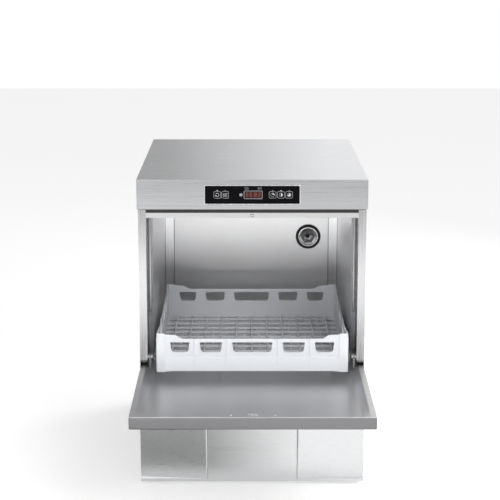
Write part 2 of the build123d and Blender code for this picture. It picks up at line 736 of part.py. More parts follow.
def strike_plate():
    """The small plate that the ball catch clicks into, with a domed screw to either side."""
    z = RIM_Z - STRIKE_SINK
    plate = block(-13, 13, STRIKE_Y - 5.5, STRIKE_Y + 7.5, z, z + 0.8)
    plate += block(-11, 11, STRIKE_Y + 5.5, STRIKE_Y + 7.5, z, z + 1.9)
    plate -= rod(0, STRIKE_Y, z - 1, CATCH_BALL + 0.6, 4)
    pieces = [plate]
    for x in (-53.5, 53.5):
        head = rod(x, STRIKE_Y, z, 3.5, 1.4)
        pieces.append(fillet(head.edges().group_by(Axis.Z)[-1], 0.8))
    return group(pieces)


LUG_X = 270.0
LUG_THICK = 6.0


def hinge_lug(pocket):
    """A lug that rises from the liner's side to the pivot."""
    disc = rod(LUG_X, PIVOT_Y, PIVOT_Z, 13, LUG_THICK, "x")
    web = block(LUG_X, LUG_X + LUG_THICK, PIVOT_Y - 13, PIVOT_Y + 13, RIM_Z - LINER_DEPTH, PIVOT_Z)
    low = wide(298, DOOR_TIP_Y, DOOR_ROOT_Y, RIM_Z - 20, RIM_Z) - pocket
    return disc + web - low - rod(LUG_X - 1, PIVOT_Y, PIVOT_Z, PIN_RADIUS, LUG_THICK + 2, "x")


def hinge_pin():
    """The pin from the lug, through the bush, to the lever."""
    shank = rod(LUG_X, PIVOT_Y, PIVOT_Z, PIN_RADIUS, LEVER_X + LEVER_THICK - LUG_X, "x")
    head = rod(LUG_X - 2.5, PIVOT_Y, PIVOT_Z, 7.5, 2.5, "x")
    return shank + head


def hinge_lever():
    """The arm on the pin's outer end that the door spring pulls."""
    x = LEVER_X
    t = LEVER_THICK
    hub = rod(x, PIVOT_Y, PIVOT_Z, 9, t, "x")
    arm = block(x, x + t, PIVOT_Y, PIVOT_Y + LEVER_LENGTH, PIVOT_Z - 5, PIVOT_Z + 5)
    eye = tube(x, PIVOT_Y + LEVER_LENGTH, PIVOT_Z, 5, 2, t, "x")
    arm -= rod(x - 1, PIVOT_Y + LEVER_LENGTH, PIVOT_Z, 2, t + 2, "x")
    return hub + arm + eye - rod(x - 1, PIVOT_Y, PIVOT_Z, PIN_RADIUS, t + 2, "x")


def door_spring():
    """The counterbalance spring, as the closed sleeve of its coils, with an eye at the foot."""
    x = LEVER_X + LEVER_THICK / 2
    y = PIVOT_Y + LEVER_LENGTH
    coils = tube(x, y, SPRING_LOW, SPRING_RADIUS, SPRING_RADIUS - 2, PIVOT_Z - 14 - SPRING_LOW)
    end = rod(x, y, PIVOT_Z - 14, SPRING_RADIUS, 2) + rod(x, y, PIVOT_Z - 12, 1.5, 6)
    return coils + end


# ---- Rack ----
RACK_HALF = RACK_SIZE / 2
WALL = 4.0
WINDOWS = ((-188.0, 50.0), (-107.5, 58.0), (0.0, 104.0), (107.5, 58.0), (188.0, 50.0))
RIB_XS = (-150.5, -66.5, 66.5, 150.5)


def rack_wall():
    """One side of the rack, with five windows, ribs, a solid lower band and raised ends."""
    h = RACK_HALF
    outline = [
        (-h, 0), (h, 0), (h, RACK_CORNER), (h - 52, RACK_CORNER - 4), (h - 64, RACK_RIM),
        (-h + 64, RACK_RIM), (-h + 52, RACK_CORNER - 4), (-h, RACK_CORNER),
    ]
    wall = xz_prism(outline, -h + 1.6, -h + 1.6 + WALL)
    band = block(-h, h, -h, -h + 1.6, 0, 41.5)
    wall += band
    for x, width in WINDOWS:
        top = RACK_RIM - 9
        low = top - 26.5
        w = width / 2
        shape = [(x - w, top), (x + w, top), (x + w - 4, low), (x - w + 4, low)]
        wall -= xz_prism(shape, -h - 1, -h + 10)
    for x in RIB_XS:
        wall += block(x - 2, x + 2, -h, -h + 1.6, 41.5, RACK_RIM)
    return wall


def rack_basket():
    """The moulded rack: four windowed walls, corner posts and an open grid base."""
    h = RACK_HALF
    wall = rack_wall()
    rack = wall
    for turn in (90, 180, 270):
        rack += Rot(0, 0, turn) * wall
    post = block(h - 26, h, -h, -h + 1.6, 0, RACK_CORNER - 2) + block(h - 1.6, h, -h, -h + 26, 0, RACK_CORNER - 2)
    for turn in (0, 90, 180, 270):
        rack += Rot(0, 0, turn) * post
    bars = []
    for step in range(-5, 6):
        offset = 43.5 * step
        bars.append(block(offset - 2.5, offset + 2.5, -h + 5, h - 5, 3, 10))
        bars.append(block(-h + 5, h - 5, offset - 2.5, offset + 2.5, 3, 10))
    for bar in bars:
        rack += bar
    return Pos(0, RACK_HALF - RACK_OUT, RACK_BASE_Z) * rack


# ---- Write every piece ----
write("base_frame", base_frame())
write("levelling_feet", levelling_feet())
write_pair("left_side_panel", "right_side_panel", side_panel())
write("top_panel", top_panel())
write("back_panel", back_panel())
write("back_panel_screws", back_panel_screws())
write("control_fascia", control_fascia())
write("control_window", control_window())
write("display_lens", display_lens())
for name, key_x in zip(KEY_NAMES, KEY_XS):
    write(name, key_cap(key_x))
write("control_board", control_board())
write("front_posts", both_sides(front_post()))
write("hinge_bushes", both_sides(hinge_bush()))
write("door_header", door_header())
write("catch_housing", catch_housing())
write("catch_ball", catch_ball())
write("top_seal", top_seal())
write_pair("left_chamber_wall", "right_chamber_wall", chamber_side())
write("chamber_back_wall", chamber_back())
write("chamber_ceiling", chamber_ceiling())
write("tank_floor", tank_floor())
write("door_sill", door_sill())
write("rack_rails", both_sides(rack_rail()))
write("port_seal", port_seal())
write("port_insert", port_insert())
write("lower_wash_arm", wash_arm(LOWER_WASH_Z, 18, True))
write("lower_rinse_arm", rinse_arm(LOWER_RINSE_Z))
write("upper_wash_arm", wash_arm(UPPER_WASH_Z, 14, False))
write("upper_rinse_arm", rinse_arm(UPPER_RINSE_Z))
write("lower_arm_post", lower_arm_post())
write("upper_arm_post", upper_arm_post())
write("filter_screens", filter_screens())
write("filter_cartridge", filter_cartridge())
write("tank_heater", tank_heater())
write("wash_pump_motor", wash_pump_motor())
write("wash_pump_volute", wash_pump_volute())
write("drain_pump", drain_pump())
write("rinse_boiler", rinse_boiler())
write("inlet_valve", inlet_valve())
write("dosing_pumps", dosing_pumps())
write("wash_pipes", group([wash_pipe(), suction_hose()]))
write("rinse_pipe", rinse_pipe())
write("water_inlet", water_inlet())
write("drain_outlet", drain_outlet())
write("cable_gland", cable_gland())
write("lower_front_panel", lower_front_panel())
liner_pocket = pocket_shape()
write("door_outer_panel", door_outer_panel())
write("door_liner", door_liner(liner_pocket))
write("strike_plate", strike_plate())
write("hinge_lugs", both_sides(hinge_lug(liner_pocket)))
write("hinge_pins", both_sides(hinge_pin()))
write("hinge_levers", both_sides(hinge_lever()))
write("door_springs", both_sides(door_spring()))
write("rack_basket", rack_basket())
print("middle of the length:", Y_MIDDLE)
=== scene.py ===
import math

import bpy
import numpy as np
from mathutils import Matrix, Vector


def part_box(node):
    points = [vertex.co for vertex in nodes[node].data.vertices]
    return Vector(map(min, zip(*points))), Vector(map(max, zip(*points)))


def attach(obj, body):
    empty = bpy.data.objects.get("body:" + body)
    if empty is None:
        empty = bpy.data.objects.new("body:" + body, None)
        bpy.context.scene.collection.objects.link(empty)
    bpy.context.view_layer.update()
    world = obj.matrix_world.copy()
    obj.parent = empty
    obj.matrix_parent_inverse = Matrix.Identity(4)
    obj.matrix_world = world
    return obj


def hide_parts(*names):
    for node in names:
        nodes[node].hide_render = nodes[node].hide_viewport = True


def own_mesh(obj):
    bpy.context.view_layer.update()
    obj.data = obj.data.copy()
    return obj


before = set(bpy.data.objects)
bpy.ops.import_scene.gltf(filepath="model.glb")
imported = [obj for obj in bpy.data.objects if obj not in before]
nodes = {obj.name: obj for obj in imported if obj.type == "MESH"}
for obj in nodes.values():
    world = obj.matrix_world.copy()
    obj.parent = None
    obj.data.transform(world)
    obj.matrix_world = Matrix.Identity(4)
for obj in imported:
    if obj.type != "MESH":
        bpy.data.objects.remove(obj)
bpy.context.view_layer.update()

# ---- Camera ----
# A camera above the worktop and 3.4 m in front of the cabinet, tipped down at it. Part of the tilt is taken
# up by a small lens shift, so that upright edges stay nearly parallel.
front_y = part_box("control_fascia")[0].y
camera_data = bpy.data.cameras.new("view_camera")
camera = bpy.data.objects.new("view_camera", camera_data)
bpy.context.scene.collection.objects.link(camera)
camera.location = (-0.0164, front_y - 3.434, 1.480)
camera.rotation_euler = (math.radians(78.8), 0, 0)
camera_data.sensor_width = 36
camera_data.lens = 97.47
camera_data.shift_x = 0.0081
camera_data.shift_y = -0.110
bpy.context.scene.camera = camera

# ---- Studio ----
# A pale sheet on the floor, a wide soft sky that is brighter on the right, and three soft lamps.
scene = bpy.context.scene
scene.view_settings.view_transform = "Standard"
world = bpy.data.worlds.new("studio")
scene.world = world
world.use_nodes = True
sky = world.node_tree.nodes
sky.clear()
sky_links = world.node_tree.links
sky_out = sky.new("ShaderNodeOutputWorld")
sky_mix = sky.new("ShaderNodeMixShader")
sky_path = sky.new("ShaderNodeLightPath")
sky_seen = sky.new("ShaderNodeBackground")
sky_seen.inputs["Color"].default_value = (1, 1, 1, 1)
sky_light = sky.new("ShaderNodeBackground")
sky_way = sky.new("ShaderNodeTexCoord")
sky_parts = sky.new("ShaderNodeSeparateXYZ")
sky_side = sky.new("ShaderNodeMapRange")
sky_side.inputs["From Min"].default_value = -0.55
sky_side.inputs["From Max"].default_value = 0.35
sky_side.inputs["To Min"].default_value = 0.50
sky_side.inputs["To Max"].default_value = 0.95
sky_side.interpolation_type = "SMOOTHSTEP"
sky_links.new(sky_way.outputs["Generated"], sky_parts.inputs[0])
sky_links.new(sky_parts.outputs["X"], sky_side.inputs["Value"])
sky_links.new(sky_side.outputs["Result"], sky_light.inputs["Strength"])
sky_links.new(sky_path.outputs["Is Camera Ray"], sky_mix.inputs["Fac"])
sky_links.new(sky_light.outputs[0], sky_mix.inputs[1])
sky_links.new(sky_seen.outputs[0], sky_mix.inputs[2])
sky_links.new(sky_mix.outputs[0], sky_out.inputs["Surface"])


def soft_lamp(name, place, aim, size, power):
    """A square lamp of the given size at one point, turned to face another."""
    data = bpy.data.lights.new(name, "AREA")
    data.size = size
    data.energy = power
    lamp = bpy.data.objects.new(name, data)
    scene.collection.objects.link(lamp)
    lamp.location = place
    way = np.array(aim, float) - np.array(place, float)
    yaw = math.atan2(way[1], way[0])
    pitch = math.atan2(-way[2], math.hypot(way[0], way[1]))
    lamp.rotation_euler = (math.radians(90) - pitch, 0, yaw - math.radians(90))
    return lamp


soft_lamp("key_lamp", (1.6, -2.4, 2.4), (0, -0.1, 0.4), 1.4, 40)
soft_lamp("fill_lamp", (-1.2, -3.0, 1.7), (0, 0.2, 0.5), 1.5, 24)
soft_lamp("roof_lamp", (1.7, 1.6, 1.6), (0.2, 0.2, 0.84), 1.2, 20)


def node_material(name):
    """An empty node material: (material, its nodes, its links, its shader)."""
    made = bpy.data.materials.new(name)
    made.use_nodes = True
    tree = made.node_tree
    return made, tree.nodes, tree.links, tree.nodes["Principled BSDF"]


floor_finish, floor_nodes, floor_links, floor_shader = node_material("pale_floor")
floor_grain = floor_nodes.new("ShaderNodeTexNoise")
floor_grain.inputs["Scale"].default_value = 3
floor_tone = floor_nodes.new("ShaderNodeMapRange")
floor_tone.inputs["To Min"].default_value = 0.90
floor_tone.inputs["To Max"].default_value = 0.93
floor_links.new(floor_grain.outputs["Fac"], floor_tone.inputs["Value"])
floor_links.new(floor_tone.outputs["Result"], floor_shader.inputs["Base Color"])
floor_shader.inputs["Roughness"].default_value = 0.85
floor_shader.inputs["Specular IOR Level"].default_value = 0.1
floor_shader.inputs["Emission Color"].default_value = (1, 1, 1, 1)
floor_shader.inputs["Emission Strength"].default_value = 0.34
floor_mesh = bpy.data.meshes.new("floor")
floor_mesh.from_pydata([(-9, -9, 0), (9, -9, 0), (9, 9, 0), (-9, 9, 0)], [], [(0, 1, 2, 3)])
floor_mesh.materials.append(floor_finish)
floor = bpy.data.objects.new("floor", floor_mesh)
scene.collection.objects.link(floor)


def light_card(name, corners, start, stop, low, high):
    """A flat board that the camera and the shadows pass through; only the mouth board also lights matt
    surfaces. Its glow goes from low, where x is at or below start, to high, where x is at or above stop."""
    finish, kinds, links, shader = node_material(name)
    where = kinds.new("ShaderNodeTexCoord")
    parts = kinds.new("ShaderNodeSeparateXYZ")
    ramp = kinds.new("ShaderNodeMapRange")
    ramp.inputs["From Min"].default_value = start
    ramp.inputs["From Max"].default_value = stop
    ramp.inputs["To Min"].default_value = low
    ramp.inputs["To Max"].default_value = high
    links.new(where.outputs["Object"], parts.inputs[0])
    links.new(parts.outputs["X"], ramp.inputs["Value"])
    links.new(ramp.outputs["Result"], shader.inputs["Emission Strength"])
    shader.inputs["Emission Color"].default_value = (1, 1, 1, 1)
    shader.inputs["Base Color"].default_value = (0.05, 0.05, 0.05, 1)
    shader.inputs["Roughness"].default_value = 0.95
    mesh = bpy.data.meshes.new(name)
    mesh.from_pydata(corners, [], [(0, 1, 2, 3)])
    mesh.materials.append(finish)
    board = bpy.data.objects.new(name, mesh)
    scene.collection.objects.link(board)
    board.visible_camera = False
    board.visible_shadow = False
    board.visible_diffuse = name == "mouth_card"


def floor_board(half, near, far):
    """The corners of a board lying just over the floor between two distances in front."""
    return [(-half, far, 0.003), (half, far, 0.003), (half, near, 0.003), (-half, near, 0.003)]


def upright_board(half, y, low, high):
    """The corners of a board that stands across the room at y, between two heights."""
    return [(-half, y, low), (half, y, low), (half, y, high), (-half, y, high)]


light_card("near_card", floor_board(0.9, -0.27, -1.02), -0.15, 0.13, 0.18, 1.32)
light_card("dim_card", floor_board(1.1, -1.03, -1.55), -0.5, 0.5, 0.62, 0.60)
light_card("mouth_card", upright_board(0.75, -1.2, 0.14, 0.44), -0.7, 0.7, 3.3, 2.9)
light_card("bright_card", floor_board(1.3, -1.56, -3.20), -0.6, 0.6, 2.10, 1.90)
light_card("far_card", floor_board(2.5, -3.21, -7.50), -1.0, 1.0, 0.30, 0.36)
light_card("back_card", upright_board(1.6, 2.2, 0.75, 2.3), -0.36, 0.34, 0.42, 1.05)

# ---- Outer panels ----
# The worktop, sides and rear cover are folded from stainless sheet, brushed along one way and left bare.
# The worktop has the finest brushing, and the hidden sheets keep the mill's duller finish.
def brushed_steel(name, tone, grain, roughness, streak=0.05, mottle=0.03, bump=0.04):
    """Bare brushed sheet. Noise stretched along the brushing gives fine lines in tone, gloss and height,
    and a slow noise gives the cloudy tone of handled sheet. grain is the (x, y, z) frequency."""
    made, kinds, links, shader = node_material(name)
    where = kinds.new("ShaderNodeTexCoord")
    stretch = kinds.new("ShaderNodeMapping")
    stretch.inputs["Scale"].default_value = grain
    lines = kinds.new("ShaderNodeTexNoise")
    lines.inputs["Scale"].default_value = 1.0
    lines.inputs["Detail"].default_value = 5.0
    lines.inputs["Roughness"].default_value = 0.7
    clouds = kinds.new("ShaderNodeTexNoise")
    clouds.inputs["Scale"].default_value = 5.0
    clouds.inputs["Detail"].default_value = 2.0
    links.new(where.outputs["Object"], stretch.inputs["Vector"])
    links.new(stretch.outputs["Vector"], lines.inputs["Vector"])
    links.new(where.outputs["Object"], clouds.inputs["Vector"])
    line_tone = kinds.new("ShaderNodeMapRange")
    line_tone.inputs["From Min"].default_value = 0.3
    line_tone.inputs["From Max"].default_value = 0.7
    line_tone.inputs["To Min"].default_value = 1 - streak
    line_tone.inputs["To Max"].default_value = 1 + streak
    links.new(lines.outputs["Fac"], line_tone.inputs["Value"])
    cloud_tone = kinds.new("ShaderNodeMapRange")
    cloud_tone.inputs["To Min"].default_value = 1 - mottle
    cloud_tone.inputs["To Max"].default_value = 1 + mottle
    links.new(clouds.outputs["Fac"], cloud_tone.inputs["Value"])
    both = kinds.new("ShaderNodeMath")
    both.operation = "MULTIPLY"
    links.new(line_tone.outputs["Result"], both.inputs[0])
    links.new(cloud_tone.outputs["Result"], both.inputs[1])
    colour = kinds.new("ShaderNodeVectorMath")
    colour.operation = "SCALE"
    colour.inputs[0].default_value = tone
    links.new(both.outputs[0], colour.inputs["Scale"])
    links.new(colour.outputs[0], shader.inputs["Base Color"])
    gloss = kinds.new("ShaderNodeMapRange")
    gloss.inputs["From Min"].default_value = 0.3
    gloss.inputs["From Max"].default_value = 0.7
    gloss.inputs["To Min"].default_value = roughness - 0.05
    gloss.inputs["To Max"].default_value = roughness + 0.07
    links.new(lines.outputs["Fac"], gloss.inputs["Value"])
    links.new(gloss.outputs["Result"], shader.inputs["Roughness"])
    relief = kinds.new("ShaderNodeBump")
    relief.inputs["Strength"].default_value = bump
    relief.inputs["Distance"].default_value = 0.0004
    links.new(lines.outputs["Fac"], relief.inputs["Height"])
    links.new(relief.outputs["Normal"], shader.inputs["Normal"])
    shader.inputs["Metallic"].default_value = 1.0
    return made


def finish_node(finish, *names):
    """Give each named sheet or casting its finish."""
    for name in names:
        node = nodes[name]
        for place in node.material_slots:
            place.material = finish
        if not node.material_slots:
            node.data.materials.append(finish)


along_x = (6, 900, 900)
upright = (900, 900, 6)
top_steel = brushed_steel("top_steel", (0.60, 0.605, 0.62), along_x, 0.24)
side_steel = brushed_steel("side_steel", (0.47, 0.475, 0.48), upright, 0.32)
mill_steel = brushed_steel("mill_steel", (0.50, 0.51, 0.52), (60, 60, 60), 0.45, 0.03, 0.06)
finish_node(top_steel, "top_panel")
finish_node(side_steel, "left_side_panel", "right_side_panel")
finish_node(mill_steel, "back_panel", "base_frame")


# ---- Rear cover screws and louvre hoods ----
# Cross-headed screws hold the rear cover; each louvre slot has a hood pressed out over it.
def add_piece(name, points, faces, finish, body, slot, smooth=None):
    """Make a mesh from arrays of points and faces, give it a finish, and fix it to a body. smooth is the
    angle in degrees above which an edge stays sharp."""
    mesh = bpy.data.meshes.new(name)
    mesh.from_pydata(np.asarray(points, float).reshape(-1, 3).tolist(), [], [tuple(f) for f in faces])
    mesh.validate()
    mesh.materials.append(finish)
    if smooth is not None:
        mesh.shade_smooth()
        mesh.set_sharp_from_angle(angle=math.radians(smooth))
    made = bpy.data.objects.new(name, mesh)
    scene.collection.objects.link(made)
    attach(made, body)
    return made


def grid_faces(rows, columns, wrap_rows=False, wrap_columns=False, start=0):
    """Quads that join a grid of rows x columns points, numbered row by row."""
    r = np.arange(rows if wrap_rows else rows - 1)
    c = np.arange(columns if wrap_columns else columns - 1)
    rr, cc = np.meshgrid(r, c, indexing="ij")
    r1 = (rr + 1) % rows
    c1 = (cc + 1) % columns
    quads = np.stack([rr * columns + cc, rr * columns + c1, r1 * columns + c1, r1 * columns + cc], -1)
    return (quads.reshape(-1, 4) + start).tolist()


def turned(profile, centre, axis, sides=48):
    """A turned shape: each (radius, height) pair of the profile is carried once round the axis. Returns
    points and faces, with the first and last ring closed by a face where its radius isn't nought."""
    profile = np.asarray(profile, float)
    axis = np.asarray(axis, float) / np.linalg.norm(axis)
    helper = np.array([0, 0, 1.0]) if abs(axis[2]) < 0.9 else np.array([1.0, 0, 0])
    u = np.cross(axis, helper)
    u /= np.linalg.norm(u)
    v = np.cross(axis, u)
    angle = np.linspace(0, 2 * np.pi, sides, endpoint=False)
    ring = np.cos(angle)[:, None] * u + np.sin(angle)[:, None] * v
    points = np.asarray(centre) + profile[:, None, :1] * ring[None] + profile[:, 1, None, None] * axis
    count = len(profile)
    faces = grid_faces(count, sides, wrap_columns=True)
    faces.append(tuple(range(sides - 1, -1, -1)))
    faces.append(tuple(range((count - 1) * sides, count * sides)))
    return points.reshape(-1, 3), faces


def boxes(lows, highs):
    """Many separate boxes from two arrays of corners, as one set of points and faces."""
    lows = np.asarray(lows, float).reshape(-1, 3)
    highs = np.asarray(highs, float).reshape(-1, 3)
    pick = np.array([[i >> 2 & 1, i >> 1 & 1, i & 1] for i in range(8)])
    points = lows[:, None] * (1 - pick) + highs[:, None] * pick
    sides = np.array([[0, 1, 3, 2], [4, 6, 7, 5], [0, 4, 5, 1], [2, 3, 7, 6], [0, 2, 6, 4], [1, 5, 7, 3]])
    faces = sides[None] + 8 * np.arange(len(lows))[:, None, None]
    return points.reshape(-1, 3), faces.reshape(-1, 4).tolist()


def join(parts):
    """Several (points, faces) sets as one."""
    points = []
    faces = []
    start = 0
    for some_points, some_faces in parts:
        points.append(np.asarray(some_points, float))
        faces += [tuple(i + start for i in f) for f in some_faces]
        start += len(some_points)
    return np.concatenate(points), faces


def bright_metal(name, tone, roughness):
    """Polished metal with a faint cloudiness in its gloss."""
    made, kinds, links, shader = node_material(name)
    where = kinds.new("ShaderNodeTexCoord")
    clouds = kinds.new("ShaderNodeTexNoise")
    clouds.inputs["Scale"].default_value = 220
    links.new(where.outputs["Object"], clouds.inputs["Vector"])
    gloss = kinds.new("ShaderNodeMapRange")
    gloss.inputs["To Min"].default_value = roughness * 0.7
    gloss.inputs["To Max"].default_value = roughness * 1.3
    links.new(clouds.outputs["Fac"], gloss.inputs["Value"])
    links.new(gloss.outputs["Result"], shader.inputs["Roughness"])
    shader.inputs["Base Color"].default_value = (*tone, 1)
    shader.inputs["Metallic"].default_value = 1.0
    return made


polished = bright_metal("polished_steel", (0.80, 0.80, 0.81), 0.14)
screw_parts = []
rear_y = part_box("back_panel")[1].y
for side in (-0.292, 0.292):
    for step in range(4):
        z = 0.090 + 0.230 * step
        dome = [(0.0040, 0), (0.0040, 0.0010), (0.0034, 0.0018), (0.0018, 0.0023), (0.0004, 0.0024)]
        screw_parts.append(turned(dome, (side, rear_y, z), (0, 1, 0), 24))
rear_screws = add_piece("rear_screws", *join(screw_parts), polished, "cabinet", "bright_metal", 40)
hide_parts("back_panel_screws")


def louvre_hood(x, z, width, height, depth):
    """A hood over a slot: a half arch across its height that fades out at each end. Out from the sheet it
    is depth times the square root of (1 - (end distance / half width) to the sixth), times the sine of the
    way down."""
    across = np.linspace(-1, 1, 25)
    down = np.linspace(0, 1, 7)
    a, d = np.meshgrid(across, down, indexing="ij")
    out = depth * np.sqrt(np.clip(1 - a ** 6, 0, 1)) * np.sin(d * math.pi / 2)
    points = np.stack([x + a * width / 2, rear_y + 0.0002 + out, z + height * (1 - d)], -1)
    return points.reshape(-1, 3), grid_faces(25, 7)


hood_parts = []
for side in (-0.150, 0.150):
    for row in range(8):
        hood_parts.append(louvre_hood(side, 0.640 + 0.014 * row - 0.001, 0.094, 0.0095, 0.0045))
hoods = add_piece("louvre_hoods", *join(hood_parts), mill_steel, "cabinet", "steel_plain", 60)
hood_wall = hoods.modifiers.new("sheet", "SOLIDIFY")
hood_wall.thickness = 0.0009

# ---- Control fascia ----
# The front strip is one folded sheet, brushed along its length, cut out for the control window.
fascia_steel = brushed_steel("fascia_steel", (0.405, 0.41, 0.42), (5, 1100, 1100), 0.30, 0.07, 0.02, 0.06)
finish_node(fascia_steel, "control_fascia")
window_low, window_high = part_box("control_window")
window_mid = (window_low + window_high) / 2


def rounded_outline(width, height, radius, steps=6):
    """Points round a rounded rectangle about the origin: four quarter circles joined by its straight
    sides."""
    turn = np.linspace(0, math.pi / 2, steps)
    points = []
    for quarter, (sx, sz) in enumerate(((1, 1), (-1, 1), (-1, -1), (1, -1))):
        angle = turn + quarter * math.pi / 2
        centre = np.array([sx * (width / 2 - radius), sz * (height / 2 - radius)])
        points.append(centre + radius * np.stack([np.cos(angle), np.sin(angle)], -1))
    return np.concatenate(points)


def window_bezel():
    """The bright pressed edge round the window: an outer roll, a crown and an inner slope."""
    size = np.array([window_high.x - window_low.x, window_high.z - window_low.z])
    loops = [(0.0034, 0.0), (0.0030, -0.0005), (0.0020, -0.0008), (0.0010, -0.0006), (0.0002, 0.0008)]
    rings = []
    for grow, out in loops:
        line = rounded_outline(size[0] + 2 * grow, size[1] + 2 * grow, 0.0018 + grow)
        line = line + np.array([window_mid.x, window_mid.z])
        rings.append(np.column_stack([line[:, 0], np.full(len(line), front_y + out), line[:, 1]]))
    return np.concatenate(rings), grid_faces(len(loops), len(rings[0]), wrap_columns=True)


bezel_bright = bright_metal("bezel_bright", (0.62, 0.62, 0.63), 0.26)
add_piece("window_bezel", *window_bezel(), bezel_bright, "cabinet", "steel_brushed", 50)

# ---- Control window, keys and display ----
# A black front plate with printed signs. Two keys are on the left, the red display is in the middle and
# the three cycle keys are on the right, each key with a small lamp over it.
def gloss_plastic(name, tone, roughness):
    """Smooth moulded plastic whose gloss wanders a little."""
    made, kinds, links, shader = node_material(name)
    where = kinds.new("ShaderNodeTexCoord")
    clouds = kinds.new("ShaderNodeTexNoise")
    clouds.inputs["Scale"].default_value = 60
    links.new(where.outputs["Object"], clouds.inputs["Vector"])
    gloss = kinds.new("ShaderNodeMapRange")
    gloss.inputs["To Min"].default_value = roughness * 0.8
    gloss.inputs["To Max"].default_value = roughness * 1.2
    links.new(clouds.outputs["Fac"], gloss.inputs["Value"])
    links.new(gloss.outputs["Result"], shader.inputs["Roughness"])
    shader.inputs["Base Color"].default_value = (*tone, 1)
    return made


def glowing(name, tone, glow, strength):
    """A sign or lamp: its own tone, and a glow of the given strength. On the printed signs the glow is
    painted light.
    """
    made, kinds, links, shader = node_material(name)
    shader.inputs["Base Color"].default_value = (*tone, 1)
    shader.inputs["Roughness"].default_value = 0.4
    shader.inputs["Emission Color"].default_value = (*glow, 1)
    shader.inputs["Emission Strength"].default_value = strength
    return made


def ribbon(points, width, depth, closed=False):
    """A flat line through (x, z) points at the depth y: each point moves half the width to either side,
    along the mean normal of the runs that meet there."""
    line = np.asarray(points, float)
    if closed:
        run = np.roll(line, -1, 0) - np.roll(line, 1, 0)
    else:
        run = np.gradient(line, axis=0)
    run /= np.maximum(np.linalg.norm(run, axis=1, keepdims=True), 1e-12)
    normal = np.column_stack([-run[:, 1], run[:, 0]]) * width / 2
    both = np.stack([line - normal, line + normal], 1)
    points3 = np.stack([both[..., 0], np.full(both.shape[:2], depth), both[..., 1]], -1)
    return points3.reshape(-1, 3), grid_faces(len(line), 2, wrap_rows=closed)


def patch(outline, depth):
    """A filled outline of (x, z) points at the depth y, as a fan of triangles about its middle."""
    line = np.asarray(outline, float)
    middle = line.mean(0)
    count = len(line)
    points = np.column_stack([line[:, 0], np.full(count, depth), line[:, 1]])
    points = np.vstack([points, [middle[0], depth, middle[1]]])
    return points, [(i, (i + 1) % count, count) for i in range(count)]


def arc(x, z, radius, start, stop, steps=24):
    """Points along a circle between two angles in degrees, measured from +X towards +Z."""
    angle = np.radians(np.linspace(start, stop, steps))
    return np.column_stack([x + radius * np.cos(angle), z + radius * np.sin(angle)])


def printed(name, parts, finish, body, slot):
    """A flat print that faces the front, given a hair of thickness towards the cabinet."""
    points, faces = join(parts)
    facing = []
    for face in faces:
        a, b, c = (points[i] for i in face[:3])
        facing.append(face if np.cross(b - a, c - a)[1] < 0 else face[::-1])
    made = add_piece(name, points, facing, finish, body, slot)
    skin = made.modifiers.new("ink", "SOLIDIFY")
    skin.thickness = 0.00012
    return made


window_black = gloss_plastic("window_black", (0.004, 0.004, 0.005), 0.14)
window_black.node_tree.nodes["Principled BSDF"].inputs["Specular IOR Level"].default_value = 0.05
key_black = gloss_plastic("key_black", (0.004, 0.004, 0.005), 0.22)
key_black.node_tree.nodes["Principled BSDF"].inputs["Specular IOR Level"].default_value = 0.05
# The white and grey printed signs glow faintly: painted light, since print gives off none. The key lamps and
# display figures are real lamps.
sign_white_painted_glow = glowing("sign_white_painted_glow", (0.50, 0.50, 0.51), (0.8, 0.8, 0.82), 0.08)
sign_grey_painted_glow = glowing("sign_grey_painted_glow", (0.26, 0.26, 0.27), (0.8, 0.8, 0.82), 0.03)
lamp_white = glowing("lamp_white", (0.7, 0.7, 0.7), (1, 1, 1), 0.25)
segment_red = glowing("segment_red", (0.12, 0.02, 0.015), (1.0, 0.10, 0.05), 0.16)
lens_red = gloss_plastic("lens_red", (0.030, 0.006, 0.006), 0.18)
finish_node(window_black, "control_window")
finish_node(lens_red, "display_lens")
key_names = ("key_start", "key_drain", "key_short_cycle", "key_medium_cycle", "key_long_cycle")
finish_node(key_black, *key_names)
ink_lift = 0.00008
window_ink = front_y + 0.0004 - ink_lift
key_ink = front_y + 0.0002 - ink_lift
key_signs = {}
key_middles = {}
for name in key_names:
    low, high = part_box(name)
    x = (low.x + high.x) / 2
    z = window_mid.z
    key_middles[name] = x
    frame_line = rounded_outline(0.0176, 0.0176, 0.0032) + (x, z)
    key_signs[name] = [ribbon(frame_line, 0.00050, key_ink, True)]
x = key_middles["key_start"]
turning = arc(x, window_mid.z, 0.0042, 150, -150, 30)
key_signs["key_start"].append(ribbon(turning, 0.0009, key_ink))
tip = turning[-1]
head = np.array([(0.0022, 0.0), (-0.0015, 0.0020), (-0.0010, -0.0022)])
head = head @ np.array([[-0.5, 0.87], [-0.87, -0.5]])
key_signs["key_start"].append(patch(head + tip, key_ink))
x = key_middles["key_drain"]
for level, tall in ((0.0020, 0.0016), (-0.0030, 0.0016)):
    across = np.linspace(-0.0056, 0.0056, 40)
    wave = level + tall * np.cos(across / 0.0056 * 2 * math.pi)
    key_signs["key_drain"].append(
        ribbon(np.column_stack([x + across, window_mid.z + wave]), 0.0008, key_ink)
    )
for name, stop in (("key_short_cycle", 0), ("key_medium_cycle", -90), ("key_long_cycle", -180)):
    x = key_middles[name]
    key_signs[name].append(ribbon(arc(x, window_mid.z, 0.0050, 0, 352, 44), 0.0004, key_ink, True))
    slice_line = np.vstack([[x, window_mid.z], arc(x, window_mid.z, 0.0040, 90, stop, 24)])
    fan = np.column_stack([slice_line[:, 0], np.full(25, key_ink), slice_line[:, 1]])
    key_signs[name].append((fan, [(0, i, i + 1) for i in range(1, 24)]))
for name in key_names:
    printed(name + "_sign", key_signs[name], sign_white_painted_glow, name, "key_black")

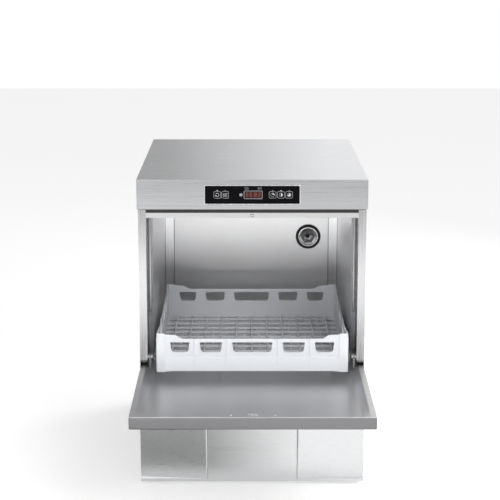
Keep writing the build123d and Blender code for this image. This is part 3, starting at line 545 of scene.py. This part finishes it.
lamp_parts = []
dull_lamp_parts = []
for name in key_names:
    spot = arc(key_middles[name], window_mid.z + 0.0112, 0.0011, 0, 345, 24)
    bright = name in ("key_start", "key_medium_cycle")
    (lamp_parts if bright else dull_lamp_parts).append(patch(spot, window_ink))
printed("key_lamps", lamp_parts, lamp_white, "cabinet", "display_red")
# The unlit lamps take the faintly glowing grey: painted light.
printed("key_lamps_off", dull_lamp_parts, sign_grey_painted_glow, "cabinet", "window_black")

display_low, display_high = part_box("display_lens")
display_x = (display_low.x + display_high.x) / 2
plate_signs = [
    ribbon(rounded_outline(0.0470, 0.0205, 0.0020) + (display_x, window_mid.z), 0.0006, window_ink, True)
]
flake_x = -0.0292
for turn in (90, 210, 330):
    way = np.array([math.cos(math.radians(turn)), math.sin(math.radians(turn))])
    centre = np.array([flake_x, window_mid.z])
    line = centre + np.linspace(-1, 1, 5)[:, None] * way * 0.0044
    plate_signs.append(ribbon(line, 0.0008, window_ink))
    side = np.array([-way[1], way[0]])
    for end in (-1, 1):
        for flare in (-1, 1):
            root = centre + end * way * 0.0026
            barb = root + np.linspace(0, 1, 4)[:, None] * (end * way + flare * side) * 0.0013
            plate_signs.append(ribbon(barb, 0.0006, window_ink))
printed("window_signs", plate_signs, sign_white_painted_glow, "cabinet", "window_black")
faint = []
for x, tall in ((-0.0149, 0.0022), (0.0187, 0.0022)):
    z = window_mid.z + 0.0168
    faint.append(ribbon(arc(x - 0.0022, z, tall, 40, 320, 20), 0.0007, window_ink))
    faint.append(ribbon(arc(x + 0.0026, z, tall, -140, 140, 20), 0.0007, window_ink))
    bar = np.column_stack([np.linspace(x - 0.0012, x + 0.0016, 5), np.full(5, z)])
    faint.append(ribbon(bar, 0.0007, window_ink))
printed("window_signs_faint", faint, sign_grey_painted_glow, "cabinet", "window_black")


def digit(x, z, lit):
    """A seven-segment figure 10.6 mm tall about (x, z): lit names its bars, from a at the top, clockwise to
    f, with g across the middle. A bar is a six-sided patch."""
    half_w, half_h, thick, gap = 0.0028, 0.0050, 0.0011, 0.0004
    ends = {
        "a": ((-half_w, half_h), (half_w, half_h)), "b": ((half_w, half_h), (half_w, 0)),
        "c": ((half_w, 0), (half_w, -half_h)), "d": ((-half_w, -half_h), (half_w, -half_h)),
        "e": ((-half_w, 0), (-half_w, -half_h)), "f": ((-half_w, half_h), (-half_w, 0)),
        "g": ((-half_w, 0), (half_w, 0)),
    }
    bars = []
    for bar in lit:
        a, b = (np.array(end) for end in ends[bar])
        way = (b - a) / np.linalg.norm(b - a)
        side = np.array([-way[1], way[0]]) * thick / 2
        a = a + way * gap
        b = b - way * gap
        nip = way * thick / 2
        line = np.array([a, a + nip + side, b - nip + side, b, b - nip - side, a + nip - side])
        line[:, 0] += 0.12 * line[:, 1]
        bars.append(patch(line + (x, z), display_low.y - 0.00006))
    return bars


figures = []
for place, lit in zip((-0.0160, -0.0064, 0.0054, 0.0150), ("acdfg", "acdfg", "abcdefg", "abcdg")):
    figures += digit(display_x + place, window_mid.z, lit)
printed("display_figures", figures, segment_red, "cabinet", "display_red")

# ---- Control board ----
# A green circuit board behind the window, which nobody sees in use.
board_green = gloss_plastic("board_green", (0.02, 0.16, 0.06), 0.35)
finish_node(board_green, "control_board")

# ---- Chamber walls and ceiling ----
# The wash chamber is welded from satin stainless sheet, brushed upright on its sides and softly dulled by
# washing. Narrow upright beads mark the seams of the back wall and the sides, and their dark metal is painted
# shade for the shaded creases and gaps there.
chamber_steel = brushed_steel("chamber_steel", (0.82, 0.82, 0.825), (700, 700, 7), 0.30, 0.06, 0.06, 0.04)
back_grain = (90, 700, 700)
chamber_back_steel = brushed_steel("chamber_back_steel", (0.84, 0.84, 0.845), back_grain, 0.38, 0.03, 0.07)
tank_steel = brushed_steel("tank_steel", (0.50, 0.50, 0.51), (50, 50, 50), 0.40, 0.04, 0.08)
finish_node(chamber_steel, "left_chamber_wall", "right_chamber_wall")
# The front posts get a much darker copy of the stainless: painted shade.
post_shade_steel = brushed_steel("post_shade_steel", (0.35, 0.35, 0.355), (420, 420, 4), 0.26, 0.16, 0.02, 0.12)
finish_node(post_shade_steel, "front_posts")
finish_node(chamber_back_steel, "chamber_back_wall", "chamber_ceiling")
finish_node(tank_steel, "tank_floor", "rack_rails", "rinse_boiler", "wash_pipes")


def upright_bead(x, y, z0, z1, radius, flat):
    """A half-round bead down a wall that faces the front: its section is an arch, radius wide to each side
    and flat times as high, and it tapers off over its first and last 12 mm."""
    sides = 9
    turn = np.linspace(0, math.pi, sides)
    heights = np.array([z0, z0 + 0.004, z0 + 0.012, z1 - 0.012, z1 - 0.004, z1])
    sizes = np.array([0.05, 0.7, 1.0, 1.0, 0.7, 0.05]) * radius
    rings = []
    for z, size in zip(heights, sizes):
        across = x - size * np.cos(turn)
        out = y - size * flat * np.sin(turn)
        rings.append(np.column_stack([across, out, np.full(sides, z)]))
    faces = grid_faces(len(rings), sides, wrap_columns=True)
    faces.append(tuple(range(sides - 1, -1, -1)))
    faces.append(tuple(range((len(rings) - 1) * sides, len(rings) * sides)))
    return np.concatenate(rings), faces


# The seam beads are a dark metal: painted shade in the creases and gaps at the seams and at the front step.
seam_shade_metal = bright_metal("seam_shade_metal", (0.30, 0.30, 0.31), 0.30)
wall_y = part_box("port_insert")[0].y + 0.007
seam_parts = [upright_bead(side * 0.2375, wall_y, 0.352, 0.744, 0.0016, 0.8) for side in (-1, 1)]
seam_parts += [upright_bead(side * 0.2645, wall_y, 0.352, 0.744, 0.0020, 0.7) for side in (-1, 1)]
step_y = front_y + 0.104
seam_parts += [upright_bead(side * 0.2745, step_y, 0.455, 0.744, 0.0030, 0.4) for side in (-1, 1)]
add_piece("chamber_seams", *join(seam_parts), seam_shade_metal, "cabinet", "steel_chamber", 40)

# ---- Door surround ----
# The header over the mouth is a bright folded lip. The catch's ball sits in its middle, the sill drains
# back into the tank, and a black seal lies between the header and the fascia.
header_steel = brushed_steel("header_steel", (0.47, 0.47, 0.47), (5, 700, 700), 0.30, 0.03, 0.02)
finish_node(header_steel, "door_header")
finish_node(chamber_steel, "door_sill")
finish_node(polished, "catch_ball", "catch_housing")


def rubber(name, tone, roughness):
    """Matt moulded rubber or soft plastic, with a fine grain."""
    made, kinds, links, shader = node_material(name)
    where = kinds.new("ShaderNodeTexCoord")
    grain = kinds.new("ShaderNodeTexNoise")
    grain.inputs["Scale"].default_value = 900
    grain.inputs["Detail"].default_value = 3
    links.new(where.outputs["Object"], grain.inputs["Vector"])
    relief = kinds.new("ShaderNodeBump")
    relief.inputs["Strength"].default_value = 0.15
    relief.inputs["Distance"].default_value = 0.0004
    links.new(grain.outputs["Fac"], relief.inputs["Height"])
    links.new(relief.outputs["Normal"], shader.inputs["Normal"])
    shader.inputs["Base Color"].default_value = (*tone, 1)
    shader.inputs["Roughness"].default_value = roughness
    return made


seal_black = rubber("seal_black", (0.018, 0.018, 0.019), 0.6)
finish_node(seal_black, "top_seal", "port_seal", "cable_gland")

# ---- Port in the back wall ----
# A bright turned ring is clamped in a black seal. Inside it a six-sided cup narrows to a dark hole that
# sits a little low and to the left.
port_low, port_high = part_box("port_insert")
port_x = (port_low.x + port_high.x) / 2
port_z = (port_low.z + port_high.z) / 2
port_y = port_low.y
port_ring = [
    (0.0304, 0.0260), (0.0304, 0.0016), (0.0300, 0.0006), (0.0290, 0.0001), (0.0278, 0.0000),
    (0.0268, 0.0004), (0.0262, 0.0012), (0.0258, 0.0030), (0.0256, 0.0080), (0.0256, 0.0260),
]


def closed_ring(profile, centre, axis, sides=64):
    """A turned ring whose profile is closed on itself."""
    points, faces = turned(profile, centre, axis, sides)
    count = len(profile)
    return points, grid_faces(count, sides, wrap_rows=True, wrap_columns=True)


def hex_funnel():
    """A cup whose section goes from a hexagon, at the ring, to a small circle, at the hole. Its radius at
    an angle is the hexagon's, cos 30 over cos of the angle from the nearest flat, blended into 1 with
    depth, and its middle moves down and left with depth. It has an outer skin 1.2 mm behind."""
    turn = np.linspace(0, 2 * np.pi, 72, endpoint=False)
    flat = np.mod(turn, np.pi / 3) - np.pi / 6
    six = math.cos(math.pi / 6) / np.cos(flat)
    rings = []
    for radius, depth, shape in (
        (0.0256, 0.0080, 0.0), (0.0235, 0.0086, 0.9), (0.0205, 0.0094, 1.0), (0.0195, 0.0120, 1.0),
        (0.0150, 0.0165, 1.0), (0.0105, 0.0190, 0.8), (0.0070, 0.0200, 0.2), (0.0062, 0.0215, 0.0),
        (0.0060, 0.0255, 0.0), (0.0072, 0.0255, 0.0), (0.0074, 0.0222, 0.1), (0.0115, 0.0206, 0.8),
        (0.0160, 0.0180, 1.0), (0.0206, 0.0132, 1.0), (0.0214, 0.0106, 1.0), (0.0240, 0.0100, 0.9),
        (0.0256, 0.0094, 0.0),
    ):
        size = radius * (1 - shape + shape * six / six.mean())
        slide = (depth - 0.008) / 0.0175
        x = port_x + size * np.cos(turn) - 0.0014 * slide
        z = port_z + size * np.sin(turn) - 0.0022 * slide
        rings.append(np.column_stack([x, np.full(72, port_y + depth), z]))
    return np.concatenate(rings), grid_faces(17, 72, wrap_columns=True)


port_bright = bright_metal("port_bright", (0.86, 0.86, 0.86), 0.20)
cup_grey = bright_metal("cup_grey", (0.42, 0.42, 0.43), 0.38)
ring_shape = closed_ring(port_ring, (port_x, port_y, port_z), (0, 1, 0))
port_ring_piece = add_piece("port_ring", *ring_shape, port_bright, "cabinet", "bright_metal", 40)
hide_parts("port_insert")
port_cup = add_piece("port_cup", *hex_funnel(), cup_grey, "cabinet", "bright_metal", 35)
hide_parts("port_insert")

# ---- Wash and rinse arms ----
# Moulded or pressed arms turn on posts over the tank and under the ceiling. Strainers cover the tank.
plastic_grey = gloss_plastic("plastic_grey", (0.12, 0.12, 0.125), 0.42)
strainer_steel = brushed_steel("strainer_steel", (0.42, 0.42, 0.43), (80, 80, 80), 0.42, 0.05, 0.05)
finish_node(side_steel, "lower_wash_arm", "upper_wash_arm", "lower_rinse_arm", "upper_rinse_arm")
finish_node(plastic_grey, "lower_arm_post", "upper_arm_post")
finish_node(strainer_steel, "filter_screens", "filter_cartridge", "tank_heater")

# ---- Machine compartment ----
# Pumps, boiler, valve and pipes in the base, behind the lower front panel.
motor_grey = rubber("motor_grey", (0.16, 0.17, 0.18), 0.55)
pump_black = rubber("pump_black", (0.03, 0.03, 0.032), 0.5)
brass = bright_metal("brass", (0.72, 0.52, 0.24), 0.28)
copper = bright_metal("copper", (0.80, 0.42, 0.28), 0.30)
finish_node(motor_grey, "wash_pump_motor", "drain_pump", "dosing_pumps")
finish_node(pump_black, "wash_pump_volute", "drain_outlet", "levelling_feet")
finish_node(brass, "inlet_valve", "water_inlet", "hinge_bushes")
finish_node(copper, "rinse_pipe")

# ---- Lower front panel ----
# A shallow bow of three facets, folded at two creases, over a plain lip. It is brushed across.
lower_steel = brushed_steel("lower_steel", (0.60, 0.605, 0.61), (5, 900, 900), 0.30, 0.05, 0.02)
finish_node(lower_steel, "lower_front_panel")

# ---- Door ----
# The door is two pressed skins. The liner faces up when the door is down; it's satin and a little darker
# than the chamber sheet. The outer skin carries the finger pull, and its very dark steel is painted shade.
liner_steel = brushed_steel("liner_steel", (0.62, 0.62, 0.63), (6, 800, 800), 0.36, 0.05, 0.05)
# The outer skin's very dark steel is painted shade.
skin_shade_steel = brushed_steel("skin_shade_steel", (0.18, 0.18, 0.185), (5, 900, 900), 0.34, 0.05, 0.02)
finish_node(liner_steel, "door_liner")
finish_node(skin_shade_steel, "door_outer_panel")
finish_node(polished, "strike_plate", "hinge_pins")
# The hinge lugs and levers are given a very dark steel: painted shade where they sit in the dark by the
# mouth.
lug_shade_steel = brushed_steel("lug_shade_steel", (0.22, 0.22, 0.225), (60, 60, 60), 0.45, 0.03, 0.04)
finish_node(lug_shade_steel, "hinge_lugs", "hinge_levers")

# ---- Door springs ----
# Each counterbalance spring is close-wound wire with a hook at either end. It shortens as the door shuts.
spring_low, spring_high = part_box("door_springs")


def carried(path, radius, sides=8):
    """A round wire along a path: a ring of the given radius is carried along it, turned as little as
    possible, and closed at both ends."""
    path = np.asarray(path, float)
    run = np.gradient(path, axis=0)
    run /= np.linalg.norm(run, axis=1, keepdims=True)
    side = np.cross(run[0], (0.3, 0.5, 0.8))
    side /= np.linalg.norm(side)
    angle = np.linspace(0, 2 * np.pi, sides, endpoint=False)
    rings = []
    for point, way in zip(path, run):
        side = side - way * side.dot(way)
        side /= np.linalg.norm(side)
        other = np.cross(way, side)
        rings.append(point + radius * (np.cos(angle)[:, None] * side + np.sin(angle)[:, None] * other))
    count = len(path)
    faces = grid_faces(count, sides, wrap_columns=True)
    faces = [f[::-1] for f in faces]
    faces.append(tuple(range(sides)))
    faces.append(tuple(range(count * sides - 1, (count - 1) * sides - 1, -1)))
    return np.concatenate(rings), faces


def spring(x):
    """A helix of 58 turns between two straight ends: around its middle line, x goes as the cosine and y as
    the sine of the turn, and the radius closes to nought at the ends."""
    y = (spring_low.y + spring_high.y) / 2
    z0 = spring_low.z + 0.006
    z1 = spring_high.z - 0.010
    turn = np.linspace(0, 58 * 2 * np.pi, 58 * 14)
    share = turn / turn[-1]
    size = 0.0060 * np.clip(np.minimum(share, 1 - share) * 58, 0, 1) ** 0.5
    coil = np.column_stack([x + size * np.cos(turn), y + size * np.sin(turn), z0 + (z1 - z0) * share])
    low_end = np.array([(x, y, spring_low.z), (x, y, spring_low.z + 0.003)])
    high_end = np.array([(x, y, spring_high.z - 0.006), (x, y, spring_high.z)])
    return np.vstack([low_end, coil, high_end])


spring_wire = bright_metal("spring_wire", (0.55, 0.55, 0.56), 0.30)
for side, name in ((-1, "left_door_spring"), (1, "right_door_spring")):
    middle = spring_high.x - 0.007
    coil = carried(spring(side * middle), 0.0010)
    coil_piece = add_piece(name, *coil, spring_wire, "cabinet", "hinge_steel", 60)
    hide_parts("door_springs")
    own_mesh(coil_piece)

# ---- Rack ----
# A moulded glass rack, 500 mm square. Each wall has five windows with raised lips over a smooth band, with
# ribs between them, and the corners stand higher so that racks stack. The base is an open grid.
rack_low, rack_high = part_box("rack_basket")
rack_mid = np.array([0.0, (rack_low.y + rack_high.y) / 2, rack_low.z])
rack_half = (rack_high.x - rack_low.x) / 2


def softened(outline, radius, steps=5):
    """A polygon with its corners rounded off: each corner becomes a curve from one point on its first side,
    over the corner, to a point on its second. radius is one number, or one for each corner."""
    line = np.asarray(outline, float)
    count = len(line)
    sizes = np.broadcast_to(radius, count)
    points = []
    for i in range(count):
        a, b, c = line[i - 1], line[i], line[(i + 1) % count]
        size = min(sizes[i], 0.49 * np.linalg.norm(a - b), 0.49 * np.linalg.norm(c - b))
        start = b + (a - b) / np.linalg.norm(a - b) * size
        stop = b + (c - b) / np.linalg.norm(c - b) * size
        t = np.linspace(0, 1, steps)[:, None]
        points.append((1 - t) ** 2 * start + 2 * t * (1 - t) * b + t ** 2 * stop)
    return np.concatenate(points)


def pierced_plate(outline, holes, y0, y1, edge=0.0003):
    """A flat plate in X and Z between two depths, with holes through it and a small round on every edge."""
    data = bpy.data.curves.new("plate", "CURVE")
    data.dimensions = "2D"
    data.fill_mode = "BOTH"
    data.extrude = (y1 - y0) / 2 - edge
    data.bevel_depth = edge
    data.bevel_resolution = 1
    data.offset = -edge
    for line in [outline, *holes]:
        spline = data.splines.new("POLY")
        spline.points.add(len(line) - 1)
        flat = np.column_stack([line[:, 0], line[:, 1], np.zeros(len(line)), np.ones(len(line))])
        spline.points.foreach_set("co", flat.ravel())
        spline.use_cyclic_u = True
    shape = bpy.data.objects.new("plate", data)
    scene.collection.objects.link(shape)
    bpy.context.view_layer.update()
    mesh = bpy.data.meshes.new_from_object(shape.evaluated_get(bpy.context.evaluated_depsgraph_get()))
    flat = np.array([v.co for v in mesh.vertices], float)
    faces = [tuple(p.vertices) for p in mesh.polygons]
    bpy.data.objects.remove(shape)
    bpy.data.curves.remove(data)
    bpy.data.meshes.remove(mesh)
    return np.column_stack([flat[:, 0], (y0 + y1) / 2 - flat[:, 2], flat[:, 1]]), faces


def rack_wall():
    """The front wall, laid out about the rack's own middle: x across, y out and z up."""
    h = rack_half
    rim = 0.090
    tall = rack_high.z - rack_low.z
    outline = [
        (-h + 0.004, 0.002), (h - 0.004, 0.002), (h - 0.004, tall - 0.002), (h - 0.052, tall - 0.004),
        (h - 0.065, rim), (-h + 0.065, rim), (-h + 0.052, tall - 0.004), (-h + 0.004, tall - 0.002),
    ]
    sizes = (0.002, 0.002, 0.002, 0.006, 0.006, 0.006, 0.006, 0.002)
    holes = []
    lips = []
    for x, width in ((-0.188, 0.050), (-0.1075, 0.058), (0.0, 0.104), (0.1075, 0.058), (0.188, 0.050)):
        w = width / 2
        top = rim - 0.0095
        low = top - 0.0265
        shape = np.array([(x - w, top), (x - w + 0.003, low), (x + w - 0.003, low), (x + w, top)])
        size = (0.0035, 0.0085, 0.0085, 0.0035)
        holes.append(softened(shape, size, 7))
        grown = shape + [(-0.004, 0.0035), (-0.0034, -0.0045), (0.0034, -0.0045), (0.004, 0.0035)]
        inner = shape + [(-0.0002, 0.0002), (-0.0002, -0.0002), (0.0002, -0.0002), (0.0002, 0.0002)]
        lip = softened(grown, (0.005, 0.011, 0.011, 0.005), 7)
        lips.append(pierced_plate(lip, [softened(inner, size, 7)], -h + 0.0008, -h + 0.0030))
    parts = [pierced_plate(softened(outline, sizes), holes, -h + 0.0020, -h + 0.0048)]
    parts += lips
    return parts


def rack_band():
    """The smooth lower band: its section goes up the outside, in over a rounded shoulder at 41.5 mm, and
    down the inside. It runs between the corner posts."""
    section = np.array([
        (0.0036, 0.0015), (0.0006, 0.0015), (0.0002, 0.0022), (0.0000, 0.0045), (0.0000, 0.0385),
        (0.0004, 0.0403), (0.0012, 0.0413), (0.0022, 0.0416), (0.0036, 0.0416),
    ])
    count = len(section)
    h = rack_half
    stations = np.array([-h + 0.0225, -h + 0.030, -h + 0.045, h - 0.045, h - 0.030, h - 0.0225])
    lift = np.array([0.0, 0.0, 0.0012, 0.0012, 0.0, 0.0])
    rings = []
    for x, up in zip(stations, lift):
        z = section[:, 1] + up * (section[:, 1] < 0.005)
        rings.append(np.column_stack([np.full(count, x), -h + 0.0003 + section[:, 0], z]))
    faces = [f[::-1] for f in grid_faces(len(rings), count, wrap_columns=True)]
    faces.append(tuple(range(count)))
    faces.append(tuple(range(len(rings) * count - 1, (len(rings) - 1) * count - 1, -1)))
    return np.concatenate(rings), faces


def rack_rib(x):
    """An upright rib between two windows that flares out into a foot on the band below."""
    h = rack_half
    heights = np.array([0.018, 0.030, 0.040, 0.0425, 0.060, 0.0885, 0.0900])
    widths = np.array([0.0060, 0.0040, 0.0021, 0.0014, 0.0013, 0.0013, 0.0006])
    front = np.array([0.0001, 0.0, 0.0, 0.0, 0.0, 0.0, 0.0006])
    rings = []
    for z, w, y in zip(heights, widths, front):
        y = -h + y
        left = [(x - w, -h + 0.003, z), (x - w, y + 0.0004, z), (x - w + 0.0004, y, z)]
        right = [(x + w - 0.0004, y, z), (x + w, y + 0.0004, z), (x + w, -h + 0.003, z)]
        rings.append(left + right)
    faces = grid_faces(7, 6, wrap_columns=True)
    faces.append(tuple(range(5, -1, -1)))
    faces.append(tuple(range(36, 42)))
    return np.array(rings).reshape(-1, 3), faces


def rack_corner():
    """A hollow corner post: an L of two flanges with a rounded outer corner, which leans in slightly below
    its top and has a small step where the next rack sits."""
    h = rack_half
    tall = rack_high.z - rack_low.z
    reach, wall, radius = 0.024, 0.0030, 0.0050
    turn = np.radians(np.linspace(180, 270, 7))
    outer = np.column_stack([-h + radius + radius * np.cos(turn), -h + radius + radius * np.sin(turn)])
    bore = radius - wall
    inner = np.column_stack([-h + radius + bore * np.cos(turn), -h + radius + bore * np.sin(turn)])
    loop = np.vstack([
        [(-h, -h + reach)], outer, [(-h + reach, -h)], [(-h + reach, -h + wall)], inner[::-1],
        [(-h + wall, -h + reach)],
    ])
    rings = []
    foot = ((0.0, 0.0010), (0.0015, 0.0), (tall - 0.010, 0.0))
    head = ((tall - 0.0085, 0.0009), (tall - 0.001, 0.0009), (tall, 0.0016))
    for z, shrink in foot + head:
        middle = np.array([-h + 0.008, -h + 0.008])
        ring = loop + (middle - loop) * shrink / 0.008
        rings.append(np.column_stack([ring, np.full(len(ring), z)]))
    count = len(loop)
    faces = grid_faces(6, count, wrap_columns=True)
    faces.append(tuple(range(count - 1, -1, -1)))
    faces.append(tuple(range(5 * count, 6 * count)))
    return np.concatenate(rings), faces


def rack_base():
    """The open base: main bars 3 mm wide every 43.5 mm on edge, and finer bars between them."""
    h = rack_half
    lows = []
    highs = []
    for step in range(-5, 6):
        at = 0.0435 * step
        lows += [(at - 0.0018, -h + 0.004, 0.0012), (-h + 0.004, at - 0.0018, 0.0014)]
        highs += [(at + 0.0018, h - 0.004, 0.0085), (h - 0.004, at + 0.0018, 0.0083)]
    for step in range(-5, 5):
        at = 0.0435 * (step + 0.5)
        lows += [(at - 0.0010, -h + 0.004, 0.0032), (-h + 0.004, at - 0.0010, 0.0034)]
        highs += [(at + 0.0010, h - 0.004, 0.0055), (h - 0.004, at + 0.0010, 0.0053)]
    return boxes(lows, highs)


def quarter_turns(part):
    """A piece laid out about the rack's middle, repeated on all four sides."""
    points, faces = part
    copies = []
    for turn in range(4):
        c, s = (1, 0, -1, 0)[turn], (0, 1, 0, -1)[turn]
        spun_x = c * points[:, 0] - s * points[:, 1]
        spun_y = s * points[:, 0] + c * points[:, 1]
        spun = np.column_stack([spun_x, spun_y, points[:, 2]])
        copies.append((spun, faces))
    return join(copies)


def moulded(name, tone, roughness):
    """White moulded plastic with a little light inside it and a faint unevenness in its gloss."""
    made = gloss_plastic(name, tone, roughness)
    shader = made.node_tree.nodes["Principled BSDF"]
    shader.inputs["Subsurface Weight"].default_value = 0.08
    shader.inputs["Subsurface Radius"].default_value = (0.004, 0.004, 0.004)
    return made


rack_white = moulded("rack_white", (0.64, 0.655, 0.68), 0.42)
rack_sides = [quarter_turns(part) for part in rack_wall()]
rack_sides.append(quarter_turns(rack_band()))
for x in (-0.1505, -0.0665, 0.0665, 0.1505):
    rack_sides.append(quarter_turns(rack_rib(x)))
rack_sides.append(quarter_turns(rack_corner()))
side_points, side_faces = join(rack_sides)
rack_walls = add_piece("rack_walls", side_points + rack_mid, side_faces, rack_white, "rack", "rack_white", 40)
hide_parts("rack_basket")
base_points, base_faces = rack_base()
rack_grid = add_piece("rack_grid", base_points + rack_mid, base_faces, rack_white, "rack", "rack_white")
grid_edge = rack_grid.modifiers.new("edge", "BEVEL")
grid_edge.width = 0.0005
grid_edge.segments = 1
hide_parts("rack_basket")
